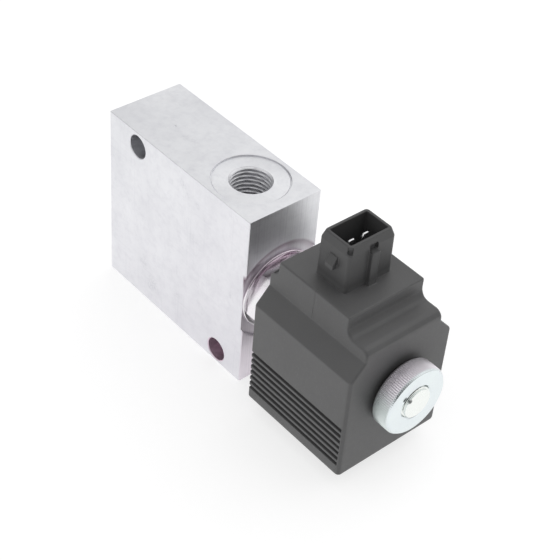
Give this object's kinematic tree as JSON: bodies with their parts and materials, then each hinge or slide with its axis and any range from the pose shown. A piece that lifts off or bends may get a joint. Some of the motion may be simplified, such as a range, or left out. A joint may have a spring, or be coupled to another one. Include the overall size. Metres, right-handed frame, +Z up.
{
  "type": "solenoid directional valve",
  "caption": "Screw-in solenoid directional valve in a ported aluminium line block, with an encapsulated coil, bladed plug socket and knurled coil nut.",
  "frame": {"origin": "centre of the block's base face", "axes": "+Z up through the side port and the plug socket, +X along the cartridge from the block towards the coil nut, Y across the mounting holes"},
  "size_m": [0.1195, 0.0364, 0.0692],
  "materials": {
    "block_aluminium": "milled, satin",
    "plated_steel": "turned and zinc plated",
    "hardened_steel": "hardened and ground",
    "magnetic_steel": "turned soft iron",
    "spring_steel": "drawn wire",
    "shim_brass": "rolled",
    "tube_steel": "drawn stainless tube",
    "pole_steel": "turned and plated",
    "seal_rubber": "moulded nitrile",
    "ptfe": "turned",
    "coil_plastic": "glass-filled, moulded",
    "bobbin_plastic": "moulded",
    "copper_wire": "enamelled copper wire",
    "tape": "polyester tape",
    "blade_tin": "tinned",
    "nut_zinc": "bright zinc plated, knurled"
  },
  "bodies": {
    "root": {"valve_block": "block_aluminium", "adapter_body": "plated_steel", "head_seal_ring": "seal_rubber", "cage": "hardened_steel", "nose_seal_ring": "seal_rubber", "nose_backup_rings": "ptfe", "return_spring": "spring_steel", "residual_shim": "shim_brass", "guide_tube": "tube_steel", "pole_piece": "pole_steel", "coil_rear_seal": "seal_rubber"},
    "armature_set": {"armature": "magnetic_steel", "spool": "hardened_steel", "coupling_pin": "hardened_steel"},
    "coil": {"coil_housing": "coil_plastic", "flux_frame": "magnetic_steel", "bobbin": "bobbin_plastic", "winding": "copper_wire", "winding_tape": "tape", "lead_wires": "copper_wire", "terminal_blades": "blade_tin"},
    "nut_seal": {"coil_front_seal": "seal_rubber"},
    "nut": {"coil_nut": "nut_zinc"}
  },
  "joints": [
    {"name": "armature_slide", "type": "slide", "parent": "root", "child": "armature_set", "axis": [1, 0, 0], "range_m": [0, 0.0024], "stiffness_N_per_m": 1500, "springref_m": -0.004, "deforming": ["return_spring"]},
    {"name": "coil_turn", "type": "hinge", "parent": "root", "child": "coil", "pos_m": [0.06, 0, 0.02935], "axis": [1, 0, 0], "continuous": true},
    {"name": "nut_travel", "type": "slide", "parent": "root", "child": "nut_seal", "axis": [1, 0, 0], "range_m": [0, 0.006]},
    {"name": "nut_spin", "type": "hinge", "parent": "nut_seal", "child": "nut", "pos_m": [0.084, 0, 0.02935], "axis": [1, 0, 0], "range_deg": [0, 2160]}
  ],
  "couplings": [
    {"joint": "nut_spin", "follows": "nut_travel", "rad_per_m": 6283.2}
  ]
}
